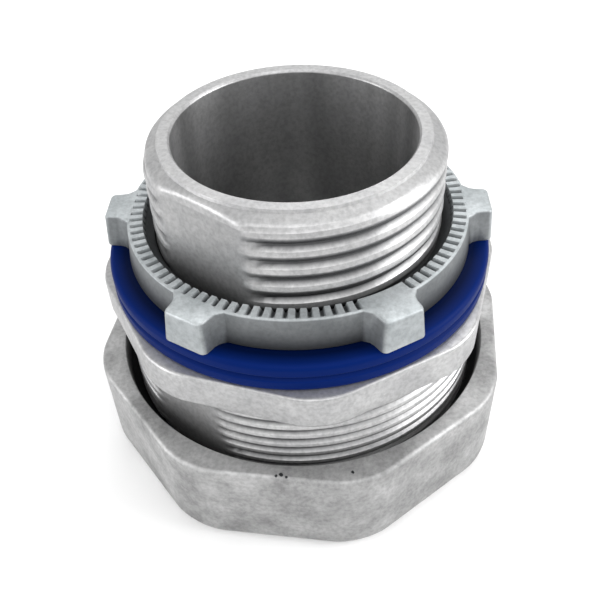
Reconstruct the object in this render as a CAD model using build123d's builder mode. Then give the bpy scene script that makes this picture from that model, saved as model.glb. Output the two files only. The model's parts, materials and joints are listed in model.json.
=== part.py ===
from build123d import *
from math import cos, hypot, radians, tan
import os

# Raintight compression connector for 1-inch rigid conduit, in millimetres.
# The frame stands on the bottom of the compression nut: the origin is the
# centre of that face, and +Z runs along the conduit's axis towards the hub.
# Turns are angles about +Z from +X, in degrees.

# Heights above the bottom of the compression nut
nut_top = 13.0
collar_bottom = 20.1
collar_top = 24.4
gasket_top = 27.9
locknut_top = 31.8
hub_top = 41.5
body_end = 6.6
conduit_stop = 18.5

# Radii along the body
throat_r = 13.3
socket_r = 16.85
rim_r = 14.75
hub_crest_r = 16.5
hub_root_r = 15.2
gland_crest_r = 21.7
gland_root_r = 20.9

# Threads: 11.5 turns per inch on the hub, 1.5 mm on the gland
hub_pitch = 25.4 / 11.5
gland_pitch = 1.5
hub_lead = gasket_top + 1.05     # height at which the hub's ridge passes +X
gland_lead = 9.0                 # the same for the gland's ridge
thread_gap = 0.15            # radial clearance between male and female threads
flank_gap = 0.10             # axial clearance on each flank
flank_angle = radians(30)
flank_slope = tan(flank_angle)
hub_root_flat = 0.35
gland_root_flat = 0.25
ridge_sink = 0.2             # how far a ridge's foot is sunk into its root
hub_runout = 0.8             # plain length between the collar and the hub's thread
hub_thread_end = 0.3         # plain length between the hub's thread and its end
gland_runout = 0.6

# Where the two halves of the casting die met, the threads are cut away flat
parting_turn = 50.5
hub_flat_r = 15.3
gland_flat_r = 21.05
flat_cut_depth = 4.0
flat_cut_width = 20.0

# Octagonal collar and nut
octagon_sides = 8
collar_flat_r = 22.4
collar_corner_r = 8.0
collar_turn = 3.6
collar_edge = 0.4
nut_flat_r = 24.85
nut_corner_r = 9.0
nut_turn = 13.0
nut_mouth_r = 23.3
nut_hole_r = 17.2
nut_hole_edge = 1.0
nut_lip = 2.4
nut_chamber = 3.2            # plain length between the lip and the thread
nut_bottom_round = 1.8
nut_top_round = 0.5

# Locknut
ring_r = 19.5
ring_mouth_r = 17.8
ring_mouth_depth = 1.6
ring_throat_r = 16.7         # where the mouth's cone steepens towards the thread
lug_r = 22.0
lug_width = 4.8
lug_count = 6
lug_turn = -2.9
lug_root_fillet = 1.2
tooth_count = 96
tooth_slot = 0.55
tooth_depth = 0.4
tooth_length = 1.5
tooth_overhang = 0.3         # how far a slot runs in past the mouth's edge
pad_turn = -62.9             # middle of the smooth pad between the teeth
pad_half = 6.5

# Gasket
gasket_r = 22.2
gasket_bore_r = 16.8
gasket_edge = 0.3
rim_groove = 0.5

# Gland parts inside the nut
seal_r = 20.6
seal_height = 2.3
seal_bore_r = 16.9
seal_edge = 0.3
washer_r = 20.4
washer_thick = 0.8
washer_bore_r = 17.1
grip_r = 18.9
grip_bore_r = 16.95
grip_height = 3.3
grip_bevel = 1.8
grip_foot_edge = 0.6
grip_slit = 2.5
bevel_mouth_r = 19.6

past = 1.0                   # how far a cut runs past the face it opens


def helical_ridge(root_r, crest_r, pitch, root_flat, low, high, lead, grow=0.0):
    """A thread's ridge between two heights, grown on each flank by a clearance."""
    sunk_r = root_r - ridge_sink
    half_root = (pitch - root_flat) / 2 + grow / cos(flank_angle)
    half_sunk = half_root + ridge_sink * flank_slope
    half_crest = half_root - (crest_r - root_r) * flank_slope
    turns_below = int((lead - low) / pitch) + 2
    start = lead - turns_below * pitch
    with BuildPart() as ridge:
        with BuildLine() as path:
            Helix(pitch, high - start + pitch, root_r, center=(0, 0, start))
        begin = Plane(origin=path.line @ 0, x_dir=(1, 0, 0), z_dir=path.line % 0)
        with BuildSketch(begin):
            with BuildLine():
                Polyline(
                    (sunk_r - root_r, -half_sunk),
                    (crest_r - root_r, -half_crest),
                    (crest_r - root_r, half_crest),
                    (sunk_r - root_r, half_sunk),
                    close=True,
                )
            make_face()
        sweep(is_frenet=True)
        with BuildSketch(Plane.XY.offset(low)):
            Circle(crest_r + past)
        extrude(amount=high - low, mode=Mode.INTERSECT)
    return ridge.part


os.makedirs("parts", exist_ok=True)

hub_ridge = helical_ridge(
    hub_root_r, hub_crest_r, hub_pitch, hub_root_flat,
    collar_top + hub_runout, hub_top - hub_thread_end, hub_lead
)
gland_ridge = helical_ridge(
    gland_root_r, gland_crest_r, gland_pitch, gland_root_flat,
    body_end, collar_bottom - gland_runout, gland_lead
)

# Octagonal collar, held by a wrench
with BuildPart() as collar:
    with BuildSketch(Plane.XY.offset(collar_bottom)):
        RegularPolygon(collar_flat_r, octagon_sides, major_radius=False, rotation=collar_turn)
        fillet(vertices(), collar_corner_r)
    extrude(amount=collar_top - collar_bottom)
    chamfer(faces().filter_by(Axis.Z).edges(), collar_edge)

# Connector body: hub, octagonal collar, gland thread, throat and conduit socket
with BuildPart() as connector_body:
    with BuildSketch(Plane.XY.offset(body_end)):
        Circle(gland_root_r)
    extrude(amount=collar_bottom - body_end)
    add(collar.part)
    with BuildSketch(Plane.XY.offset(collar_top)):
        Circle(hub_root_r)
    extrude(amount=hub_top - collar_top)
    add(hub_ridge)
    add(gland_ridge)
    # chamfered ends of the two threads
    with BuildSketch(Plane.XZ):
        with BuildLine():
            Polyline(
                (rim_r, hub_top),
                (hub_crest_r + past, hub_top),
                (hub_crest_r + past, hub_top - (hub_crest_r + past - rim_r)),
                close=True,
            )
        make_face()
        with BuildLine():
            Polyline(
                (gland_root_r, body_end),
                (gland_crest_r + past, body_end),
                (gland_crest_r + past, body_end + (gland_crest_r + past - gland_root_r)),
                close=True,
            )
        make_face()
    revolve(axis=Axis.Z, mode=Mode.SUBTRACT)
    # throat, socket and the bevelled mouth that squeezes the grip ring
    with BuildSketch(Plane.XZ):
        with BuildLine():
            Polyline(
                (0, body_end - past),
                (bevel_mouth_r, body_end - past),
                (bevel_mouth_r, body_end),
                (socket_r, body_end + bevel_mouth_r - socket_r),
                (socket_r, conduit_stop),
                (throat_r, conduit_stop),
                (throat_r, hub_top + past),
                (0, hub_top + past),
                close=True,
            )
        make_face()
    revolve(axis=Axis.Z, mode=Mode.SUBTRACT)
    # parting-line flats across both threads
    for side in (0, 180):
        turned = Plane.XY.rotated((0, 0, parting_turn + side))
        with BuildSketch(turned.offset(collar_top)):
            with Locations((hub_flat_r + flat_cut_depth / 2, 0)):
                Rectangle(flat_cut_depth, flat_cut_width)
        extrude(amount=hub_top - collar_top, mode=Mode.SUBTRACT)
        with BuildSketch(turned.offset(body_end)):
            with Locations((gland_flat_r + flat_cut_depth / 2, 0)):
                Rectangle(flat_cut_depth, flat_cut_width)
        extrude(amount=collar_bottom - body_end, mode=Mode.SUBTRACT)
connector_body.part.label = "connector_body"
export_step(connector_body.part, "parts/connector_body.step")

# Sealing gasket: a flat ring with a groove round its rim
gasket_mid = (collar_top + gasket_top) / 2
with BuildPart() as sealing_gasket:
    with BuildSketch(Plane.XZ):
        with BuildLine():
            Polyline(
                (gasket_bore_r, collar_top),
                (gasket_r - gasket_edge, collar_top),
                (gasket_r, collar_top + gasket_edge),
                (gasket_r, gasket_mid - rim_groove),
                (gasket_r - rim_groove, gasket_mid),
                (gasket_r, gasket_mid + rim_groove),
                (gasket_r, gasket_top - gasket_edge),
                (gasket_r - gasket_edge, gasket_top),
                (gasket_bore_r, gasket_top),
                close=True,
            )
        make_face()
    revolve(axis=Axis.Z)
sealing_gasket.part.label = "sealing_gasket"
export_step(sealing_gasket.part, "parts/sealing_gasket.step")

# Locknut: threaded ring with six driving lugs and a ring of teeth
locknut_groove = helical_ridge(
    hub_root_r + thread_gap, hub_crest_r + thread_gap, hub_pitch,
    hub_root_flat + 2 * thread_gap * flank_slope, gasket_top, locknut_top, hub_lead, flank_gap
)
with BuildPart() as locknut:
    with BuildSketch(Plane.XY.offset(gasket_top)):
        Circle(ring_r)
        with PolarLocations(lug_r / 2, lug_count, start_angle=lug_turn):
            Rectangle(lug_r, lug_width)
        roots = vertices().group_by(lambda v: round(hypot(v.X, v.Y), 1))[0]
        fillet(roots, lug_root_fillet)
    extrude(amount=locknut_top - gasket_top)
    with BuildSketch(Plane.XY.offset(gasket_top)):
        Circle(hub_root_r + thread_gap)
    extrude(amount=locknut_top - gasket_top, mode=Mode.SUBTRACT)
    add(locknut_groove, mode=Mode.SUBTRACT)
    with BuildSketch(Plane.XZ):
        with BuildLine():
            Polyline(
                (hub_root_r - past, locknut_top),
                (ring_mouth_r, locknut_top),
                (ring_throat_r, locknut_top - ring_mouth_depth),
                (hub_root_r - past, locknut_top - ring_mouth_depth - (ring_throat_r + past - hub_root_r)),
                close=True,
            )
        make_face()
    revolve(axis=Axis.Z, mode=Mode.SUBTRACT)
    step = 360 / tooth_count
    tooth_turns = [i * step for i in range(tooth_count)]
    teeth = [t for t in tooth_turns if abs((t - pad_turn + 180) % 360 - 180) > pad_half]
    with BuildSketch(Plane.XY.offset(locknut_top)):
        for turn in teeth:
            with PolarLocations(ring_mouth_r + tooth_length / 2 - tooth_overhang, 1, start_angle=turn):
                Rectangle(tooth_length, tooth_slot)
    extrude(amount=-tooth_depth, mode=Mode.SUBTRACT)
locknut.part.label = "locknut"
export_step(locknut.part, "parts/locknut.step")

# Compression nut: rounded octagon, threaded inside, with a lip that holds the seal
nut_groove = helical_ridge(
    gland_root_r + thread_gap, gland_crest_r + thread_gap, gland_pitch,
    gland_root_flat + 2 * thread_gap * flank_slope, nut_lip + nut_chamber, nut_top, gland_lead, flank_gap
)
nut_bore_r = gland_root_r + thread_gap
with BuildPart() as compression_nut:
    with BuildSketch(Plane.XY):
        RegularPolygon(nut_flat_r, octagon_sides, major_radius=False, rotation=nut_turn)
        fillet(vertices(), nut_corner_r)
    extrude(amount=nut_top)
    fillet(faces().sort_by(Axis.Z)[0].edges(), nut_bottom_round)
    fillet(faces().sort_by(Axis.Z)[-1].edges(), nut_top_round)
    with BuildSketch(Plane.XZ):
        with BuildLine():
            Polyline(
                (0, -past),
                (nut_hole_r + nut_hole_edge, -past),
                (nut_hole_r + nut_hole_edge, 0),
                (nut_hole_r, nut_hole_edge),
                (nut_hole_r, nut_lip),
                (nut_bore_r, nut_lip),
                (nut_bore_r, nut_top - (nut_mouth_r - nut_bore_r)),
                (nut_mouth_r, nut_top),
                (nut_mouth_r, nut_top + past),
                (0, nut_top + past),
                close=True,
            )
        make_face()
    revolve(axis=Axis.Z, mode=Mode.SUBTRACT)
    add(nut_groove, mode=Mode.SUBTRACT)
compression_nut.part.label = "compression_nut"
export_step(compression_nut.part, "parts/compression_nut.step")

# Sealing ring that closes round the conduit, on the nut's lip
seal_top = nut_lip + seal_height
with BuildPart() as sealing_ring:
    with BuildSketch(Plane.XY.offset(nut_lip)):
        Circle(seal_r)
        Circle(seal_bore_r, mode=Mode.SUBTRACT)
    extrude(amount=seal_height)
    chamfer(edges().filter_by(GeomType.CIRCLE), seal_edge)
sealing_ring.part.label = "sealing_ring"
export_step(sealing_ring.part, "parts/sealing_ring.step")

# Slip washer that lets the nut turn without dragging the grip ring
with BuildPart() as slip_washer:
    with BuildSketch(Plane.XY.offset(seal_top)):
        Circle(washer_r)
        Circle(washer_bore_r, mode=Mode.SUBTRACT)
    extrude(amount=washer_thick)
slip_washer.part.label = "slip_washer"
export_step(slip_washer.part, "parts/slip_washer.step")

# Grip ring: a split steel ring bevelled at both ends
grip_bottom = seal_top + washer_thick
grip_top = grip_bottom + grip_height
with BuildPart() as grip_ring:
    with BuildSketch(Plane.XZ):
        with BuildLine():
            Polyline(
                (grip_bore_r, grip_bottom),
                (grip_r - grip_foot_edge, grip_bottom),
                (grip_r, grip_bottom + grip_foot_edge),
                (grip_r, grip_top - grip_bevel),
                (grip_r - grip_bevel, grip_top),
                (grip_bore_r, grip_top),
                close=True,
            )
        make_face()
    revolve(axis=Axis.Z)
    with BuildSketch(Plane.XY.offset(grip_bottom)):
        with Locations(((grip_r + grip_bore_r) / 2, 0)):
            Rectangle(grip_r - grip_bore_r + past, grip_slit)
    extrude(amount=grip_height, mode=Mode.SUBTRACT)
grip_ring.part.label = "grip_ring"
export_step(grip_ring.part, "parts/grip_ring.step")
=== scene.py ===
import json
import math

import bpy
from mathutils import Matrix, Vector, noise


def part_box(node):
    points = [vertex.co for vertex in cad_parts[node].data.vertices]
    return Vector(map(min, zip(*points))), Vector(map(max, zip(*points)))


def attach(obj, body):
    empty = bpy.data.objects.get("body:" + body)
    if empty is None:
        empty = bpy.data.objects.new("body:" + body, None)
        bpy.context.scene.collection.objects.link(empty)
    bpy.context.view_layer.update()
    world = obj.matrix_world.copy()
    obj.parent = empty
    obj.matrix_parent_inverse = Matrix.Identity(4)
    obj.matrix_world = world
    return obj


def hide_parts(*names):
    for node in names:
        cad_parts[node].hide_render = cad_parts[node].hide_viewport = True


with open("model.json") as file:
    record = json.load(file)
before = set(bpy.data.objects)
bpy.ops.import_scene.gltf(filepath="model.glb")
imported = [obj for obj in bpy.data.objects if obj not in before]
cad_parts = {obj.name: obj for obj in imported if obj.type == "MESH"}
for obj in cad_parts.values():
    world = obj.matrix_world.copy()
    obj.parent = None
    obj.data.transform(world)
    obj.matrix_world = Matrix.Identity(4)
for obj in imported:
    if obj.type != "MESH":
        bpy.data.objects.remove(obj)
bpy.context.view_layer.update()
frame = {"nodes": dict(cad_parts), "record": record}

MM = 0.001

# Heights, from the frame
body_low, body_high = (corner.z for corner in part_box("connector_body"))
gasket_low, gasket_high = (corner.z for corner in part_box("sealing_gasket"))
lock_low, lock_high = (corner.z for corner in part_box("locknut"))
nut_low, nut_high = (corner.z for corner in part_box("compression_nut"))
seal_low, seal_high = (corner.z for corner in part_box("sealing_ring"))
washer_low, washer_high = (corner.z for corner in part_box("slip_washer"))
collar_low = gasket_low - 4.3 * MM
conduit_stop = 18.5 * MM

# Radii
mounts = {mount["name"]: mount["dims"] for mount in frame["record"]["mounts"]}
hub_crest = mounts["hub_thread"]["r_mm"] * MM
throat = mounts["wire_throat"]["r_mm"] * MM
socket = mounts["conduit_socket"]["r_mm"] * MM
hub_root = 15.85 * MM
rim = 14.75 * MM
gland_crest = 21.7 * MM
gland_root = 21.2 * MM
bevel_mouth = 19.6 * MM
gasket_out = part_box("sealing_gasket")[1].x
gasket_bore = 16.8 * MM
collar_flat = 22.4 * MM
nut_flat = 24.85 * MM
nut_mouth = 22.95 * MM
nut_hole = 17.2 * MM
nut_lip = 2.4 * MM
ring_out = 19.5 * MM
ring_mouth = 17.75 * MM

# Threads: pitch, the height where a ridge passes +X, and the shares of crest and root in the pitch
hub_thread = (25.4 / 11.5 * MM, gasket_high + 1.05 * MM, 0.45, 0.1)
gland_thread = (1.5 * MM, 9.0 * MM, 0.42, 0.1)
thread_gap = 0.15 * MM
lock_bite = 0.16 * MM      # how deep the locknut's thread reaches into the hub's

# Parting-line flats: distance from the axis, and the angles either side of the middle, in
# degrees, at which the threads begin to come back and have come back fully
hub_flat, hub_smooth, hub_tip = 15.4 * MM, 18, 32
gland_flat, gland_smooth, gland_tip = 21.05 * MM, 11, 20

# The hub's end, in millimetres: a ledge under the rim, a rounded shoulder out to the crests, and
# grooves filled to just inside the crests, which open out below the filled depth
LEDGE = 0.34
SHOULDER_HEIGHT = 1.8
SHOULDER_OUT = 2.1
FILL_DEPTH = 2.0
FILL_INSIDE = 0.32
FILL_SLOPE = 1.4
SHOULDER_ROWS = (0.1, LEDGE, 0.42, 0.7, 1.0, 1.3, 1.6, 1.9)

# Turns about the axis, from +X
parting_turn = math.radians(50.5)
collar_turn = math.radians(3.6)
nut_turn = math.radians(13.0)
lug_turn = math.radians(-2.9)
pad_turn = math.radians(-62.9)

STEPS = 256


# ---------------------------------------------------------------- modelling helpers

def clear():
    """Leaves edit mode and deselects everything."""
    if bpy.context.object and bpy.context.object.mode != "OBJECT":
        bpy.ops.object.mode_set(mode="OBJECT")
    bpy.ops.object.select_all(action="DESELECT")


def take(piece):
    """Makes a piece the only one selected, and the active one."""
    clear()
    piece.select_set(True)
    bpy.context.view_layer.objects.active = piece


def choose(piece, kind, test):
    """Selects the vertices, edges or faces that pass a test, and enters edit mode."""
    take(piece)
    modes = {"VERT": (True, False, False), "EDGE": (False, True, False),
             "FACE": (False, False, True)}
    bpy.context.tool_settings.mesh_select_mode = modes[kind]
    mesh = piece.data
    for group in (mesh.vertices, mesh.edges, mesh.polygons):
        group.foreach_set("select", [False] * len(group))
    group = {"VERT": mesh.vertices, "EDGE": mesh.edges, "FACE": mesh.polygons}[kind]
    group.foreach_set("select", [bool(test(part)) for part in group])
    bpy.ops.object.mode_set(mode="EDIT")


def apply(piece, kind, **settings):
    """Adds a modifier with its settings and applies it."""
    take(piece)
    modifier = piece.modifiers.new(kind.lower(), kind)
    for key, value in settings.items():
        setattr(modifier, key, value)
    bpy.ops.object.modifier_apply(modifier=modifier.name)


def outline(name, points):
    """A chain of edges through (radius, height) points, drawn by extruding one vertex."""
    clear()
    bpy.context.tool_settings.mesh_select_mode = (True, False, False)
    bpy.ops.mesh.primitive_plane_add(size=MM)
    piece = bpy.context.object
    piece.name = name
    bpy.ops.object.mode_set(mode="EDIT")
    bpy.ops.mesh.merge(type="CENTER")
    at = Vector((0, 0, 0))
    for index, (radius, height) in enumerate(points):
        step = Vector((radius, 0, height)) - at
        if index == 0:
            bpy.ops.transform.translate(value=step)
        else:
            bpy.ops.mesh.extrude_region_move(TRANSFORM_OT_translate={"value": step})
        at += step
    bpy.ops.object.mode_set(mode="OBJECT")
    return piece


def rounded(points, radii, segments=4):
    """The points with each corner rounded by an arc of its radius."""
    result = []
    count = len(points)
    for index, (point, radius) in enumerate(zip(points, radii)):
        corner = Vector(point)
        if radius == 0:
            result.append(tuple(corner))
            continue
        before = (Vector(points[index - 1]) - corner).normalized()
        after = (Vector(points[(index + 1) % count]) - corner).normalized()
        half = before.angle(after) / 2
        centre = corner + (before + after).normalized() * radius / math.sin(half)
        first = corner + before * radius / math.tan(half) - centre
        last = corner + after * radius / math.tan(half) - centre
        for part in range(segments + 1):
            way = first.lerp(last, part / segments).normalized() * radius
            result.append(tuple(centre + way))
    return result


def turned(name, points, steps=STEPS):
    """A closed ring or plug: the outline turned about the axis."""
    piece = outline(name, list(points) + [points[0]])
    apply(piece, "SCREW", angle=2 * math.pi, steps=steps, render_steps=steps,
          use_merge_vertices=True, merge_threshold=1e-7)
    tidy_mesh(piece)
    return piece


def tidy_mesh(piece):
    """Merges doubles and turns every face outwards."""
    choose(piece, "VERT", lambda vertex: True)
    bpy.ops.mesh.remove_doubles(threshold=1e-6)
    bpy.ops.mesh.normals_make_consistent(inside=False)
    bpy.ops.object.mode_set(mode="OBJECT")


def rod(name, root, crest, thread, low, high, soft, shape=None, tilt=0, cuts=()):
    """A closed threaded rod between two heights. soft is the rounding of the crests' upper
    corners, the roots and the crests' lower corners; tilt lowers the upper corners; cuts are
    heights that get a level row of points for the shape to work on."""
    pitch, lead, crest_share, root_share = thread
    slope = (1 - crest_share - root_share) / 2 * pitch
    corners = [
        (crest, 0),
        (crest - tilt, crest_share * pitch / 2),
        (root, crest_share * pitch / 2 + slope),
        (root, crest_share * pitch / 2 + slope + root_share * pitch),
        (crest, pitch - crest_share * pitch / 2),
        (crest, pitch),
    ]
    points = rounded(corners, [0, soft[0], soft[1], soft[1], soft[2], 0], 3)
    turns_below = math.ceil((lead - low) / pitch) + 1
    turns = math.ceil((high - low) / pitch) + 3
    start = lead - turns_below * pitch
    piece = outline(name, [(radius, height + start) for radius, height in points])
    apply(piece, "SCREW", angle=2 * math.pi, screw_offset=pitch, iterations=turns, steps=STEPS,
          render_steps=STEPS, use_merge_vertices=True, merge_threshold=1e-7)
    choose(piece, "VERT", lambda vertex: True)
    bpy.ops.mesh.remove_doubles(threshold=1e-6)
    for height, outer in ((high, True), (low, False)):
        bpy.ops.mesh.select_all(action="SELECT")
        bpy.ops.mesh.bisect(plane_co=(0, 0, height), plane_no=(0, 0, 1), clear_outer=outer,
                            clear_inner=not outer, use_fill=True, threshold=1e-7)
    for height in cuts:
        bpy.ops.mesh.select_all(action="SELECT")
        bpy.ops.mesh.bisect(plane_co=(0, 0, height), plane_no=(0, 0, 1), threshold=1e-7)
    bpy.ops.object.mode_set(mode="OBJECT")
    if shape:
        for vertex in piece.data.vertices:
            vertex.co = shape(vertex.co)
    tidy_mesh(piece)
    return piece


def combine(piece, other, how):
    """Joins, cuts or keeps the common part of two closed solids, and removes the second."""
    apply(piece, "BOOLEAN", object=other, operation=how, solver="MANIFOLD")
    bpy.data.objects.remove(other)


def finish_piece(piece, name, body, nodes, material, angle=32):
    """Shading, name, body, slot and material of a finished piece."""
    take(piece)
    bpy.ops.object.transform_apply(location=True, rotation=True, scale=True)
    bpy.ops.object.shade_smooth_by_angle(angle=math.radians(angle))
    piece.name = name
    piece.data.materials.clear()
    piece.data.materials.append(material)
    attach(piece, body)
    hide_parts(*nodes)


def settle_painted_shade(piece, rule):
    """Stores how dark each point of a casting is painted, from 0 to 1: mostly painted shade."""
    layer = piece.data.attributes.new("painted_shade_and_marks", "FLOAT", "POINT")
    points = piece.data.vertices
    layer.data.foreach_set("value", [rule(point.co, point.normal) for point in points])


def between(value, low, high):
    """How far a value is from low to high, from 0 to 1."""
    return min(max((value - low) / (high - low), 0), 1)


def soft_least(a, b, blend):
    """The smaller of two lengths, with a rounded meeting."""
    gap = max(blend - abs(a - b), 0) / blend
    return min(a, b) - gap * gap * blend / 4


def octagon(name, flat, low, high, turn, corner_round):
    """An eight-sided block with rounded upright edges."""
    clear()
    bpy.ops.mesh.primitive_cylinder_add(
        vertices=8, radius=flat / math.cos(math.pi / 8), depth=high - low,
        location=(0, 0, (low + high) / 2), rotation=(0, 0, turn - math.pi / 2))
    piece = bpy.context.object
    piece.name = name
    bpy.ops.object.transform_apply(location=True, rotation=True, scale=True)
    choose(piece, "EDGE", lambda edge: upright(piece, edge))
    bpy.ops.mesh.bevel(offset=corner_round * math.tan(math.pi / 8), offset_type="OFFSET",
                       segments=8, profile=0.5)
    bpy.ops.object.mode_set(mode="OBJECT")
    return piece


def upright(piece, edge):
    """True for an edge that runs along the axis."""
    first, last = (piece.data.vertices[index].co for index in edge.vertices)
    return abs(first.z - last.z) > 0.9 * (first - last).length


def soften(piece, height, offset, segments, inside=0.0):
    """Bevels the edges that lie at a height, outside an inner radius."""
    def test(edge):
        ends = [piece.data.vertices[index].co for index in edge.vertices]
        level = all(abs(end.z - height) < 1e-6 for end in ends)
        return level and all(math.hypot(end.x, end.y) > inside for end in ends)
    choose(piece, "EDGE", test)
    bpy.ops.mesh.bevel(offset=offset, segments=segments)
    bpy.ops.object.mode_set(mode="OBJECT")


# ---------------------------------------------------------------- materials

def linear(code):
    """An sRGB hex colour as linear RGBA."""
    values = [int(code[index:index + 2], 16) / 255 for index in (1, 3, 5)]
    return [v / 12.92 if v <= 0.04045 else ((v + 0.055) / 1.055) ** 2.4 for v in values] + [1.0]


def add(tree, kind, settings=None, inputs=None, links=None):
    """Adds a node with its settings, input values and links."""
    node = tree.nodes.new(kind)
    for key, value in (settings or {}).items():
        setattr(node, key, value)
    for key, value in (inputs or {}).items():
        node.inputs[key].default_value = value
    for key, source in (links or {}).items():
        tree.links.new(source, node.inputs[key])
    return node


def new_material(name, base, metallic, roughness):
    """A material with its shader and Object coordinates."""
    material = bpy.data.materials.new(name)
    material.use_nodes = True
    tree = material.node_tree
    tree.nodes.clear()
    output = add(tree, "ShaderNodeOutputMaterial")
    shader = add(tree, "ShaderNodeBsdfPrincipled",
                 inputs={"Base Color": linear(base), "Metallic": metallic, "Roughness": roughness})
    tree.links.new(shader.outputs["BSDF"], output.inputs["Surface"])
    place = add(tree, "ShaderNodeTexCoord").outputs["Object"]
    return material, tree, shader, place


def noise_at(tree, place, size_mm, detail=3.0, rough=0.5):
    """Noise whose features are about a size in millimetres."""
    node = add(tree, "ShaderNodeTexNoise",
               inputs={"Scale": 1 / (size_mm * MM), "Detail": detail, "Roughness": rough},
               links={"Vector": place})
    return node.outputs["Fac"]


def value_range(tree, source, low, high, to_low, to_high):
    """A value moved from one range to another, clamped."""
    node = add(tree, "ShaderNodeMapRange",
               inputs={"From Min": low, "From Max": high, "To Min": to_low, "To Max": to_high},
               links={"Value": source})
    return node.outputs["Result"]


def mixed(tree, share, first, second):
    """Two colours mixed by a share."""
    node = add(tree, "ShaderNodeMix", settings={"data_type": "RGBA"})
    for key, source in (("Factor", share), ("A", first), ("B", second)):
        sockets = [s for s in node.inputs if s.name == key and s.enabled]
        if isinstance(source, (int, float, list)):
            sockets[0].default_value = source
        else:
            tree.links.new(source, sockets[0])
    return next(s for s in node.outputs if s.enabled)


def bumped(tree, shader, layers):
    """Bump from (height, distance in mm, strength) layers."""
    normal = None
    for height, distance, strength in layers:
        node = add(tree, "ShaderNodeBump", inputs={"Distance": distance * MM, "Strength": strength},
                   links={"Height": height})
        if normal:
            tree.links.new(normal, node.inputs["Normal"])
        normal = node.outputs["Normal"]
    tree.links.new(normal, shader.inputs["Normal"])


def axis_distance(tree, place):
    """Distance from the fitting's axis."""
    parts = add(tree, "ShaderNodeSeparateXYZ", links={"Vector": place})
    flat = add(tree, "ShaderNodeCombineXYZ",
               links={"X": parts.outputs["X"], "Y": parts.outputs["Y"]})
    length = add(tree, "ShaderNodeVectorMath", settings={"operation": "LENGTH"},
                 links={0: flat.outputs["Vector"]})
    return length.outputs["Value"]


# Dark grey that painted shade and the casting pits are mixed towards.
SHADE_AND_PIT_GREY = "#3c3d3f"
PIT_WARP = 0.4 * MM


def cast_zinc(name, light, dark, metallic, roughness, grain, pits=()):
    """Die-cast zinc alloy, as cast: grey metal with cloudy patches and a fine grain. A pit is a
    ragged dark spot: its turn in degrees, distance out in mm, height, and radius in mm."""
    material, tree, shader, place = new_material(name, light, metallic, roughness)
    clouds = noise_at(tree, place, 5.0, 5.0, 0.6)
    fine = noise_at(tree, place, 0.5, 4.0, 0.6)
    share = value_range(tree, clouds, 0.35, 0.65, 0.0, 1.0)
    colour = mixed(tree, share, linear(dark), linear(light))
    speck = value_range(tree, fine, 0.35, 0.6, 0.8, 1.0)
    tone = add(tree, "ShaderNodeVectorMath", settings={"operation": "SCALE"},
               links={0: colour, "Scale": speck}).outputs["Vector"]
    # The painted shade settled on each point, read back from its attribute.
    painted_shade_and_marks = add(tree, "ShaderNodeAttribute", settings={"attribute_name": "painted_shade_and_marks"}).outputs["Fac"]
    if pits:
        crumbs = add(tree, "ShaderNodeTexNoise", inputs={"Scale": 1 / (0.5 * MM), "Detail": 1.0},
                     links={"Vector": place}).outputs["Color"]
        place = add(tree, "ShaderNodeVectorMath", settings={"operation": "MULTIPLY_ADD"},
                    inputs={1: (PIT_WARP, PIT_WARP, PIT_WARP)},
                    links={0: crumbs, 2: place}).outputs["Vector"]
    # Real casting pits join the painted shade as ragged dark spots.
    for turn, out, high, size in pits:
        turn = math.radians(turn)
        spot = Vector((out * math.cos(turn), out * math.sin(turn), high / MM)) * MM
        spot += Vector((PIT_WARP, PIT_WARP, PIT_WARP)) / 2
        ragged = add(tree, "ShaderNodeVectorMath", settings={"operation": "DISTANCE"},
                     inputs={1: spot}, links={0: place}).outputs["Value"]
        hole = value_range(tree, ragged, size * 0.7 * MM, size * MM, 1.0, 0.0)
        painted_shade_and_marks = add(tree, "ShaderNodeMath", settings={"operation": "MAXIMUM"},
                    links={0: painted_shade_and_marks, 1: hole}).outputs["Value"]
    # Painted shade and pits darken the base colour towards dark grey.
    tree.links.new(mixed(tree, painted_shade_and_marks, tone, linear(SHADE_AND_PIT_GREY)), shader.inputs["Base Color"])
    rough = value_range(tree, clouds, 0.3, 0.7, roughness + 0.08, roughness - 0.06)
    tree.links.new(rough, shader.inputs["Roughness"])
    bumped(tree, shader, [(noise_at(tree, place, 1.6, 3.0), 0.05, 0.5), (fine, grain, 0.6)])
    return material


# Zinc alloy as it leaves the die: satin grey and smooth, with soft clouds.
body_zinc = cast_zinc("die_cast_zinc_body", "#cdcdcd", "#b9b9ba", 0.85, 0.42, 0.02)
# The same alloy tumbled: duller and coarser, with darker patches and four dark casting pits.
nut_zinc = cast_zinc("tumbled_die_cast_zinc_nut", "#c9c9c9", "#a6a6a6", 1.0, 0.6, 0.06, (
    (-98.8, 24.5, nut_high, 0.2), (-97.4, 24.2, nut_high, 0.26), (-96, 24.5, nut_high, 0.22),
    (-79, 24.6, nut_high, 0.24)))
# The same alloy in a paler, cooler casting, slightly bluish and less metallic to the eye.
locknut_zinc = cast_zinc("die_cast_zinc_locknut", "#cfd4d6", "#b2b8ba", 0.6, 0.45, 0.02)

# Deep blue moulded vinyl: satin, with hardly any shine. It darkens towards the bore, which stands
# in for the locknut's shadow.
blue_vinyl, tree, shader, place = new_material("moulded_blue_vinyl", "#001d5e", 0.0, 0.45)
distance = axis_distance(tree, place)
shaded = value_range(tree, distance, 20.4 * MM, 21.9 * MM, 0.0, 1.0)
blue = mixed(tree, shaded, linear("#000e34"), linear("#001d5e"))
tree.links.new(blue, shader.inputs["Base Color"])
shader.inputs["Specular IOR Level"].default_value = 0.05
bumped(tree, shader, [(noise_at(tree, place, 1.0, 3.0), 0.03, 0.4)])

# Black nitrile rubber: matt, with a fine skin.
black_rubber, tree, shader, place = new_material("moulded_black_rubber", "#1a1a1b", 0.0, 0.55)
bumped(tree, shader, [(noise_at(tree, place, 0.6, 3.0), 0.02, 0.4)])

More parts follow.
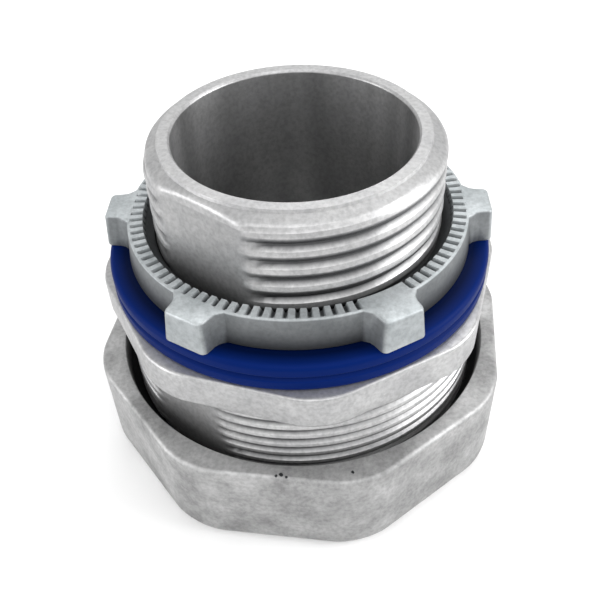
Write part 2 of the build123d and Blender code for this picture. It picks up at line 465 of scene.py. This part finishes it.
# Pressed steel with a thin zinc plate: brighter and slightly warm beside the castings.
plated_steel, tree, shader, place = new_material("zinc_plated_steel", "#b9bab2", 1.0, 0.3)
bumped(tree, shader, [(noise_at(tree, place, 0.8, 3.0), 0.01, 0.4)])


# ---------------------------------------------------------------- connector body

def parting_flats(radius, turn, flat, root, crest, smooth, tip):
    """Crests cut down, and roots filled up, to the two flats at the mould's parting line. The
    roots are full out to the smooth angle, and back at full depth from the tip angle."""
    for side in (parting_turn, parting_turn + math.pi):
        off = abs((turn - side + math.pi) % (2 * math.pi) - math.pi)
        if off > math.radians(tip):
            continue
        surface = flat / math.cos(off)
        radius = soft_least(radius, surface, 0.3 * MM)
        fade = min((tip - math.degrees(off)) / (tip - smooth), 1)
        radius = max(radius, root + (min(surface, crest) - root) * fade ** 1.5)
    return radius


def uneven(co, size, amount):
    """Small unevenness of a casting."""
    return noise.noise(co / (size * MM)) * amount * MM


def hub_shape(co):
    """Hub thread: filled grooves near the end, flats, rounded shoulder and cast unevenness."""
    turn = math.atan2(co.y, co.x)
    if co.z > body_high - 1e-6:
        return Vector((rim * math.cos(turn), rim * math.sin(turn), co.z))
    depth = (body_high - co.z) / MM
    runout = hub_crest - (FILL_INSIDE + max(depth - FILL_DEPTH, 0) * FILL_SLOPE) * MM
    radius = max(math.hypot(co.x, co.y), runout)
    radius = parting_flats(radius, turn, hub_flat, hub_root, hub_crest, hub_smooth, hub_tip)
    ledge = rim / MM + 0.08 * min(depth / LEDGE, 1)
    share = min(max((depth - LEDGE) / SHOULDER_HEIGHT, 0), 1)
    shoulder = ledge + SHOULDER_OUT * math.sin(share * math.pi / 2)
    radius = soft_least(radius, shoulder * MM, 0.5 * MM) + uneven(co, 4, 0.03)
    return Vector((radius * math.cos(turn), radius * math.sin(turn), co.z))


def gland_shape(co):
    """Gland thread: flats and chamfered end."""
    turn = math.atan2(co.y, co.x)
    radius = parting_flats(math.hypot(co.x, co.y), turn, gland_flat, gland_root, gland_crest,
                           gland_smooth, gland_tip)
    radius = soft_least(radius, gland_root + (co.z - body_low), 0.2 * MM)
    return Vector((radius * math.cos(turn), radius * math.sin(turn), co.z))


body = octagon("collar", collar_flat, collar_low, gasket_low, collar_turn, 8 * MM)
for height in (collar_low, gasket_low):
    soften(body, height, 0.35 * MM, 3)
hub_rod = rod("hub_rod", hub_root, hub_crest, hub_thread, gasket_low - 1 * MM, body_high,
              (0.08 * MM, 0.12 * MM, 0.95 * MM), hub_shape, 0.14 * MM,
              [body_high - depth * MM for depth in SHOULDER_ROWS])
combine(body, hub_rod, "UNION")
gland_rod = rod("gland_rod", gland_root, gland_crest, gland_thread, body_low, collar_low + 1 * MM,
                (0.05 * MM, 0.08 * MM, 0.5 * MM), gland_shape, 0.08 * MM)
combine(body, gland_rod, "UNION")
bore = turned("bore", rounded([
    (0, body_low - MM),
    (bevel_mouth + MM, body_low - MM),
    (bevel_mouth, body_low),
    (socket, body_low + bevel_mouth - socket),
    (socket, conduit_stop),
    (throat, conduit_stop),
    (throat, body_high - 0.25 * MM),
    (throat + 0.35 * MM, body_high + 0.1 * MM),
    (throat + 0.35 * MM, body_high + MM),
    (0, body_high + MM),
], [0, 0, 0.2 * MM, 0.3 * MM, 0.3 * MM, 0.4 * MM, 0.3 * MM, 0, 0, 0]))
combine(body, bore, "DIFFERENCE")


def parting_off(co):
    """Angle from the nearer parting-line flat, in degrees."""
    turn = math.degrees(math.atan2(co.y, co.x) - parting_turn)
    return abs((turn + 90) % 180 - 90)


def body_shade_and_marks(co, normal):
    """Painted shade in the streaky bore, the thread roots and the ridge undersides, and slightly
    darker flats.
    """
    radius = math.hypot(co.x, co.y)
    # Painted shade inside the bore and socket, streaked by noise.
    if radius < throat + 0.1 * MM:
        streak = noise.noise(Vector((co.x / (3 * MM), co.y / (3 * MM), co.z / (14 * MM))))
        return (0.22 + 0.4 * streak) * between(body_high - co.z, 0, 0.3 * MM)
    if radius < socket + 0.1 * MM and co.z < conduit_stop:
        return 0.6
    # Painted shade in the thread roots and on ridge undersides that face down; the parting flats
    # get a slightly darker tone.
    threads = ((gasket_high, body_high - 1.7 * MM, hub_root, hub_crest, hub_smooth + 1),
               (body_low, collar_low - 0.1 * MM, gland_root, gland_crest, gland_smooth))
    for low, high, root, crest, smooth in threads:
        if low < co.z < high:
            deep = between(radius, crest - (crest - root) * 0.35, root + (crest - root) * 0.3)
            shade = max(between(normal.z, 0.12, -0.4), 0.9 * deep)
            # Painted light: the gland thread's painted shade fades towards the front right, where
            # light falls.
            if high < gasket_low:  # the gland thread is lighter towards the front right
                shade *= 1 - 0.85 * between(math.cos(math.atan2(co.y, co.x) + 0.6), 0.5, 0.95)
            threaded = between(parting_off(co), smooth, smooth + 9)
            return shade * threaded + 0.2 * (1 - threaded)
    return 0


settle_painted_shade(body, body_shade_and_marks)
finish_piece(body, "body_casting", "connector_body", ["connector_body"],
             body_zinc)


# ---------------------------------------------------------------- sealing gasket

gasket_mid = (gasket_low + gasket_high) / 2
gasket = turned("gasket", rounded([
    (gasket_bore, gasket_low),
    (gasket_out, gasket_low),
    (gasket_out, gasket_mid - 0.35 * MM),
    (gasket_out - 0.5 * MM, gasket_mid),
    (gasket_out, gasket_mid + 0.35 * MM),
    (gasket_out, gasket_high),
    (gasket_bore, gasket_high),
], [0.15 * MM, 0.5 * MM, 0.25 * MM, 0.12 * MM, 0.25 * MM, 0.6 * MM, 0.15 * MM]))
finish_piece(gasket, "blue_gasket", "sealing_gasket", ["sealing_gasket"],
             blue_vinyl, 50)


# ---------------------------------------------------------------- locknut

TEETH = 96
TOOTH_COLUMNS = (0, 0, 0, 1, 1, 0)
lug_height = lock_high - lock_low


def press_teeth(ring):
    """Presses the gaps between the teeth into the top face, except over the plain pad."""
    depths = ((ring_mouth, 0.62), (ring_mouth + 0.6 * MM, 0.55), (ring_mouth + 1.15 * MM, 0.3))
    for vertex in ring.data.vertices:
        radius = math.hypot(vertex.co.x, vertex.co.y)
        if vertex.co.z < lock_high - 1e-6:
            continue
        turn = math.atan2(vertex.co.y, vertex.co.x)
        column = round(turn / (2 * math.pi) * TEETH * len(TOOTH_COLUMNS)) % len(TOOTH_COLUMNS)
        if abs((turn - pad_turn + math.pi) % (2 * math.pi) - math.pi) < math.radians(6.5):
            continue
        for place, depth in depths:
            if abs(radius - place) < 0.05 * MM:
                vertex.co.z -= depth * TOOTH_COLUMNS[column] * MM


def make_lug():
    """One lug pointing along +X: filleted where it leaves the ring, and wider at the bottom."""
    side = [(19.0, 3.7), (19.25, 3.75), (20.1, 2.95), (20.7, 2.75), (22.3, 2.6)]
    corners = [(u * MM, v * MM) for u, v in side]
    corners += [(u, -v) for u, v in reversed(corners)]
    soft = [0, 0.1 * MM, 0.9 * MM, 0.3 * MM, 0.7 * MM]
    points = rounded(corners, soft + soft[::-1], 5)
    lug = outline("lug", points + points[:1])
    choose(lug, "VERT", lambda vertex: True)
    bpy.ops.mesh.remove_doubles(threshold=1e-6)
    bpy.ops.transform.rotate(value=math.pi / 2, orient_axis="X", center_override=(0, 0, 0))
    bpy.ops.mesh.edge_face_add()
    bpy.ops.transform.translate(value=(0, 0, lock_low))
    bpy.ops.mesh.extrude_region_move(TRANSFORM_OT_translate={"value": (0, 0, lug_height)})
    bpy.ops.transform.resize(value=(0.92, 0.86, 1), center_override=(19 * MM, 0, lock_high))
    bpy.ops.object.mode_set(mode="OBJECT")
    tidy_mesh(lug)
    for height, offset in ((lock_high, 0.3 * MM), (lock_low, 0.15 * MM)):
        soften(lug, height, offset, 3, 19.4 * MM)
    return lug


def twin(piece, turn):
    """A copy with its own mesh, turned about the axis."""
    other = piece.copy()
    other.data = piece.data.copy()
    bpy.context.scene.collection.objects.link(other)
    other.rotation_euler = (0, 0, turn)
    take(other)
    bpy.ops.object.transform_apply(location=True, rotation=True, scale=True)
    return other


locknut = turned("locknut_ring", [
    (hub_root, lock_low),
    (ring_out + 0.25 * MM, lock_low),
    (ring_out + 0.35 * MM, lock_low + 0.15 * MM),
    (ring_out, lock_high - 0.2 * MM),
    (ring_out - 0.06 * MM, lock_high - 0.06 * MM),
    (ring_out - 0.2 * MM, lock_high),
    (ring_mouth + 1.45 * MM, lock_high),
    (ring_mouth + 1.15 * MM, lock_high),
    (ring_mouth + 0.6 * MM, lock_high),
    (ring_mouth, lock_high),
    (ring_mouth - 0.25 * MM, lock_high - 0.9 * MM),
    (hub_crest + 0.2 * MM, lock_high - 1.6 * MM),
    (hub_root, lock_high - 3.0 * MM),
], TEETH * len(TOOTH_COLUMNS))
press_teeth(locknut)
first_lug = make_lug()
for index in range(6):
    combine(locknut, twin(first_lug, lug_turn + index * math.pi / 3), "UNION")
bpy.data.objects.remove(first_lug)
lock_thread = rod("lock_thread", hub_crest - lock_bite, hub_crest + thread_gap, hub_thread,
                  lock_low - MM, lock_high + MM, (0.1 * MM, 0.1 * MM, 0.1 * MM))
combine(locknut, lock_thread, "DIFFERENCE")


def locknut_painted_shade(co, normal):
    """Painted shade: dark gaps between the teeth, a dark threaded mouth, and darker walls and lug
    sides.
    """
    radius = math.hypot(co.x, co.y)
    below = lock_high - co.z
    # Painted shade in the tooth gaps and the threaded mouth, on the walls, and on lug sides that
    # face sideways.
    if radius < ring_mouth + 1.3 * MM:
        return 0.85 * between(below, 0.12 * MM, 0.4 * MM)
    if below < 0.1 * MM:
        return 0
    if radius < ring_out + 0.6 * MM:
        return 0.68 + 0.3 * between(below, 1.5 * MM, lug_height)
    if radius < ring_out + 2.3 * MM:
        return 0.65
    across = abs(normal.y * co.x - normal.x * co.y) / radius
    return 0.25 + 0.4 * between(across, 0.5, 0.9)


settle_painted_shade(locknut, locknut_painted_shade)
finish_piece(locknut, "locknut_casting", "locknut", ["locknut"],
             locknut_zinc, 28)


# ---------------------------------------------------------------- compression nut

nut = octagon("nut", nut_flat, nut_low, nut_high, nut_turn, 9 * MM)
soften(nut, nut_low, 1.8 * MM, 6)
soften(nut, nut_high, 0.55 * MM, 4)
nut_bore = gland_root + thread_gap
cavity = turned("cavity", rounded([
    (0, nut_low - MM),
    (nut_hole + MM, nut_low - MM),
    (nut_hole + MM, nut_low),
    (nut_hole, nut_low + MM),
    (nut_hole, nut_lip),
    (nut_bore, nut_lip),
    (nut_bore, nut_high - 4.0 * MM),
    (nut_mouth - 0.3 * MM, nut_high - 2.6 * MM),
    (nut_mouth, nut_high - 0.2 * MM),
    (nut_mouth + 0.2 * MM, nut_high + 0.1 * MM),
    (nut_mouth + 0.2 * MM, nut_high + MM),
    (0, nut_high + MM),
], [0, 0, 0.2 * MM, 0.3 * MM, 0.2 * MM, 0.3 * MM, 0.2 * MM, 0.4 * MM, 0.3 * MM, 0, 0, 0]))
combine(nut, cavity, "DIFFERENCE")
nut_thread = rod("nut_thread", nut_bore, gland_crest + thread_gap, gland_thread,
                 nut_lip + 3.2 * MM, nut_high + MM, (0.08 * MM, 0.08 * MM, 0.08 * MM))
combine(nut, nut_thread, "DIFFERENCE")


def nut_painted_shade(co, normal):
    """Painted shade: a dark mouth and thread, darker deeper in."""
    # Painted shade, growing deeper in the mouth.
    inside = math.hypot(co.x, co.y) < nut_mouth + 0.05 * MM
    return 0.95 * between(nut_high - co.z, 0.15 * MM, 0.7 * MM) * inside


settle_painted_shade(nut, nut_painted_shade)
finish_piece(nut, "nut_casting", "compression_nut", ["compression_nut"],
             nut_zinc)


# ---------------------------------------------------------------- gland parts

seal_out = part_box("sealing_ring")[1].x
seal = turned("seal", rounded([
    (16.9 * MM, seal_low), (seal_out, seal_low), (seal_out, seal_high), (16.9 * MM, seal_high),
], [0.5 * MM] * 4))
finish_piece(seal, "rubber_seal", "compression_nut", ["sealing_ring"],
             black_rubber, 50)
washer_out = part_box("slip_washer")[1].x
washer = turned("washer", rounded([
    (17.1 * MM, washer_low), (washer_out, washer_low), (washer_out, washer_high),
    (17.1 * MM, washer_high),
], [0.12 * MM, 0.12 * MM, 0.3 * MM, 0.3 * MM]))
finish_piece(washer, "steel_washer", "compression_nut", ["slip_washer"],
             plated_steel)
frame["nodes"]["grip_ring"].data.materials.clear()
frame["nodes"]["grip_ring"].data.materials.append(plated_steel)


# ---------------------------------------------------------------- stage, light and camera

def lamp(name, place, size, power):
    """A soft white rectangular light that looks at the fitting."""
    light = bpy.data.lights.new(name, "AREA")
    light.shape = "RECTANGLE"
    light.size, light.size_y = size
    light.energy = power
    holder = bpy.data.objects.new(name, light)
    bpy.context.scene.collection.objects.link(holder)
    holder.location = place
    aim = Vector((0, 0, 0.02)) - Vector(place)
    holder.rotation_euler = aim.to_track_quat("-Z", "Y").to_euler()


clear()
bpy.ops.mesh.primitive_plane_add(size=4)
floor = bpy.context.object
floor.name = "floor"
floor_paper, tree, shader, place = new_material("white_paper_floor", "#ffffff", 0.0, 0.9)
seen = add(tree, "ShaderNodeLightPath").outputs["Is Camera Ray"]
paper = mixed(tree, seen, linear("#e6e6e6"), linear("#ffffff"))
tree.links.new(paper, shader.inputs["Base Color"])
floor.data.materials.append(floor_paper)

world = bpy.data.worlds.new("studio")
bpy.context.scene.world = world
world.use_nodes = True
background = world.node_tree.nodes["Background"]
background.inputs["Color"].default_value = linear("#ffffff")
background.inputs["Strength"].default_value = 0.68

lamp("back_key", (0.08, 0.24, 0.48), (0.35, 0.3), 0.9)
lamp("right_soft", (0.48, -0.08, 0.22), (0.3, 0.35), 1.9)
lamp("left_soft", (-0.46, -0.12, 0.16), (0.4, 0.3), 1.0)
lamp("front_soft", (0, -0.3, 0.4), (0.4, 0.25), 0.6)

camera_data = bpy.data.cameras.new("camera")
camera_data.lens = 46.7
camera_away = 0.1
camera_data.sensor_width = 36
camera_data.clip_start = 0.005
camera = bpy.data.objects.new("camera", camera_data)
bpy.context.scene.collection.objects.link(camera)
target = Vector((-0.0002, 0, 0.0165))
elevation = math.radians(42.7)
roll = math.radians(-2.6)
back = Vector((0, -math.cos(elevation), math.sin(elevation)))
right = Vector((1, 0, 0))
up = back.cross(right)
turned_right = right * math.cos(roll) + up * math.sin(roll)
turned_up = up * math.cos(roll) - right * math.sin(roll)
camera.matrix_world = Matrix.Translation(target + back * camera_away) @ Matrix(
    (turned_right, turned_up, back)).transposed().to_4x4()
bpy.context.scene.camera = camera
bpy.context.scene.view_settings.view_transform = "Standard"
